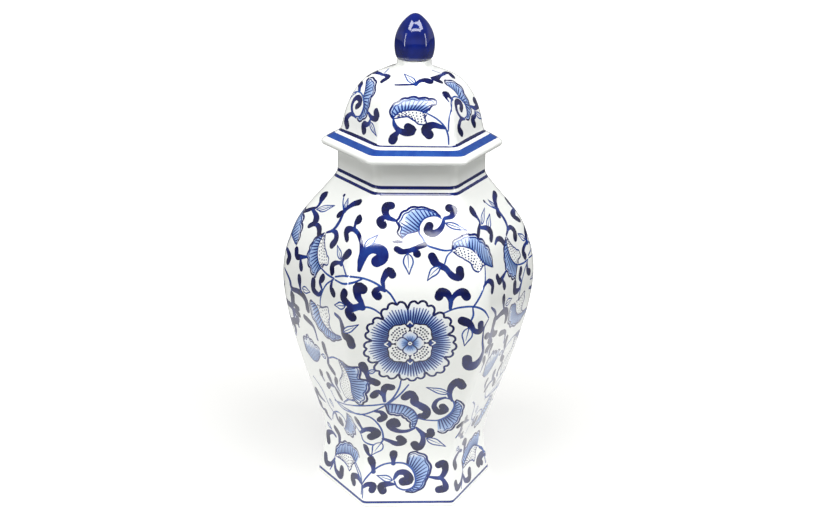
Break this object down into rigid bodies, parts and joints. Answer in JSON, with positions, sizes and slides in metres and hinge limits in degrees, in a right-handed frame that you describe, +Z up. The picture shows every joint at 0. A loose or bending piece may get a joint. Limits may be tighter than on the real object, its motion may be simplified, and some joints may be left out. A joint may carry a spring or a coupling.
{
  "type": "hexagonal lidded ginger jar",
  "caption": "Hexagonal blue-and-white ginger jar: shouldered body on a spreading foot, domed lid with a wide flange and a bud finial; the lid lifts off.",
  "frame": {"origin": "middle of the foot ring, in the plane it stands on", "axes": "+Z up through the finial; -Y out of the front flat side; +X to the right of that side, through a corner"},
  "size_m": [0.1846, 0.1636, 0.3558],
  "materials": {
    "glazed_porcelain": "glossy clear glaze over white porcelain, underglaze cobalt painting of scrolls, leaves and a flower",
    "cobalt_glaze": "glossy glaze over solid cobalt blue"
  },
  "bodies": {
    "jar": {"jar_body": "glazed_porcelain"},
    "lid": {"lid": "glazed_porcelain", "finial": "cobalt_glaze"}
  },
  "joints": [
    {"name": "lid_lift", "type": "slide", "parent": "jar", "child": "lid", "axis": [0, 0, 1], "range_m": [0, 0.12]}
  ]
}
